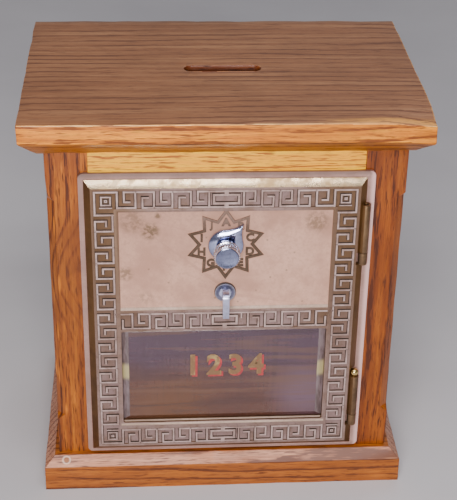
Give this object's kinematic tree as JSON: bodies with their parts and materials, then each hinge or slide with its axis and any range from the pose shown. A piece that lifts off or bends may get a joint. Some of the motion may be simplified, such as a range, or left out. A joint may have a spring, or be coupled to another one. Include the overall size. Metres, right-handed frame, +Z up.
{
  "type": "coin bank",
  "caption": "Oak coin bank with a slot in its top and a hinged metal letter-box door that carries a pointer dial, a thumb latch and a small glass window.",
  "frame": {"origin": "centre of the underside of the base board", "axes": "+Z up, the door faces -Y, +X to the viewer's right"},
  "size_m": [0.1832, 0.1375, 0.1983],
  "materials": {
    "oak": "gloss varnish",
    "oak_plain": "satin",
    "cast_paint": "worn satin",
    "chrome": "polished",
    "brass": "aged",
    "steel": "satin",
    "dark_steel": "blackened",
    "glass": "clear"
  },
  "bodies": {
    "case": {"base_board": "oak", "left_side": "oak", "right_side": "oak", "top_rail": "oak", "bottom_rail": "oak", "back_panel": "oak_plain", "top_board": "oak", "top_dowels": "oak_plain", "base_screws": "steel", "back_screws": "brass", "door_frame": "cast_paint", "frame_screws": "brass", "upper_hinge_pin": "steel", "lower_hinge_pin": "brass"},
    "door": {"door_panel": "cast_paint", "glass_pane": "glass", "glass_retainer": "brass", "retainer_screws": "steel", "latch_socket": "dark_steel", "bolt_guide": "steel", "guide_screws": "steel", "lock_case": "dark_steel", "lock_cover": "dark_steel", "case_screws": "brass", "wheel_spacers": "dark_steel", "fence_pivot": "brass", "fence_spring": "steel"},
    "dial": {"dial_pointer": "chrome", "dial_knob": "chrome", "dial_spindle": "dark_steel", "spindle_nut": "brass", "drive_wheel": "brass"},
    "front_wheel": {"front_tumbler": "brass"},
    "rear_wheel": {"rear_tumbler": "brass"},
    "latch": {"latch_lever": "chrome", "latch_cam": "brass"},
    "bolt": {"latch_bolt": "brass"},
    "fence": {"fence_lever": "steel"}
  },
  "joints": [
    {"name": "door_hinge", "type": "hinge", "parent": "case", "child": "door", "pos_m": [0.06265, -0.0587, 0.0949], "axis": [0, 0, 1], "range_deg": [0, 120]},
    {"name": "dial_turn", "type": "hinge", "parent": "door", "child": "dial", "pos_m": [-0.0007, -0.0599, 0.1363], "axis": [0, 1, 0], "continuous": true},
    {"name": "front_tumbler_turn", "type": "hinge", "parent": "door", "child": "front_wheel", "pos_m": [-0.0007, -0.053, 0.1363], "axis": [0, 1, 0], "continuous": true},
    {"name": "rear_tumbler_turn", "type": "hinge", "parent": "door", "child": "rear_wheel", "pos_m": [-0.0007, -0.05, 0.1363], "axis": [0, 1, 0], "continuous": true},
    {"name": "latch_turn", "type": "hinge", "parent": "door", "child": "latch", "pos_m": [-0.0007, -0.0599, 0.1114], "axis": [0, -1, 0], "range_deg": [0, 75]},
    {"name": "bolt_slide", "type": "slide", "parent": "door", "child": "bolt", "axis": [-1, 0, 0], "range_m": [0, 0.0049]},
    {"name": "fence_lift", "type": "hinge", "parent": "door", "child": "fence", "pos_m": [0.0183, -0.045, 0.11395], "axis": [0, 1, 0], "range_deg": [0, 3], "deforming": ["fence_spring"]}
  ],
  "couplings": [
    {"joint": "front_tumbler_turn", "follows": "dial_turn", "ratio": 1},
    {"joint": "rear_tumbler_turn", "follows": "dial_turn", "ratio": 1},
    {"joint": "bolt_slide", "follows": "latch_turn", "m_per_rad": 0.0037205},
    {"joint": "fence_lift", "follows": "latch_turn", "ratio": 0.04}
  ]
}
